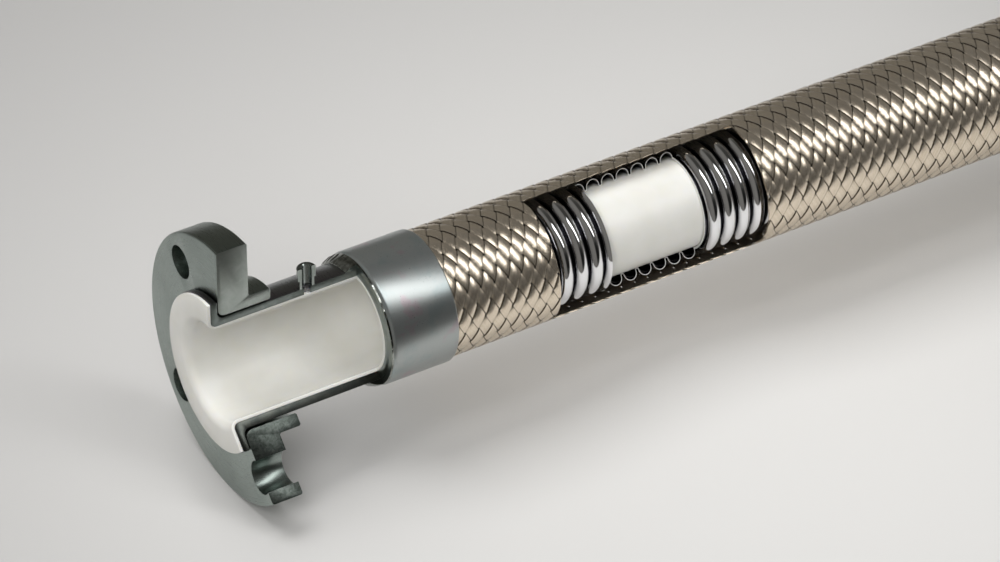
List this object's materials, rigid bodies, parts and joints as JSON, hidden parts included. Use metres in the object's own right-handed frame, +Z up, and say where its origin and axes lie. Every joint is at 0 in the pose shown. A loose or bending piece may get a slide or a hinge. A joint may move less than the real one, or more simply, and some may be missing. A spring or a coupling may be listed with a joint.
{
  "type": "ptfe-lined braided metal hose",
  "caption": "Wire-braided convoluted metal hose with a flared PTFE liner, welded collars, vent nipples and swivelling lap-joint flanges, cut open at one end and along its middle to show the layers.",
  "frame": {"origin": "centre of the near sealing face, on the hose axis", "axes": "+X along the hose from the near, cut open fitting to the far one, +Z up through the vent nipples"},
  "size_m": [0.697, 0.1524, 0.1524],
  "materials": {
    "flange_steel": "turned and passivated",
    "stub_steel": "turned",
    "nipple_steel": "turned",
    "weld_steel": "as welded",
    "collar_steel": "satin, heat tinted",
    "braid_wire": "drawn wire, plaited",
    "hose_steel": "bright rolled sheet",
    "liner_ptfe": "smooth, slightly waxy"
  },
  "bodies": {
    "hose": {"stub_end": "stub_steel", "vent_nipple": "nipple_steel", "weld_bead": "weld_steel", "collar": "collar_steel", "wire_braid": "braid_wire", "convoluted_hose": "hose_steel", "ptfe_liner": "liner_ptfe", "far_stub_end": "stub_steel", "far_vent_nipple": "nipple_steel", "far_weld_bead": "weld_steel", "far_collar": "collar_steel"},
    "near_flange": {"lap_flange": "flange_steel"},
    "far_flange": {"far_lap_flange": "flange_steel"}
  },
  "joints": [
    {"name": "near_flange_swivel", "type": "hinge", "parent": "hose", "child": "near_flange", "pos_m": [0.0153, 0, 0], "axis": [1, 0, 0], "continuous": true},
    {"name": "far_flange_swivel", "type": "hinge", "parent": "hose", "child": "far_flange", "pos_m": [0.6817, 0, 0], "axis": [1, 0, 0], "continuous": true}
  ]
}
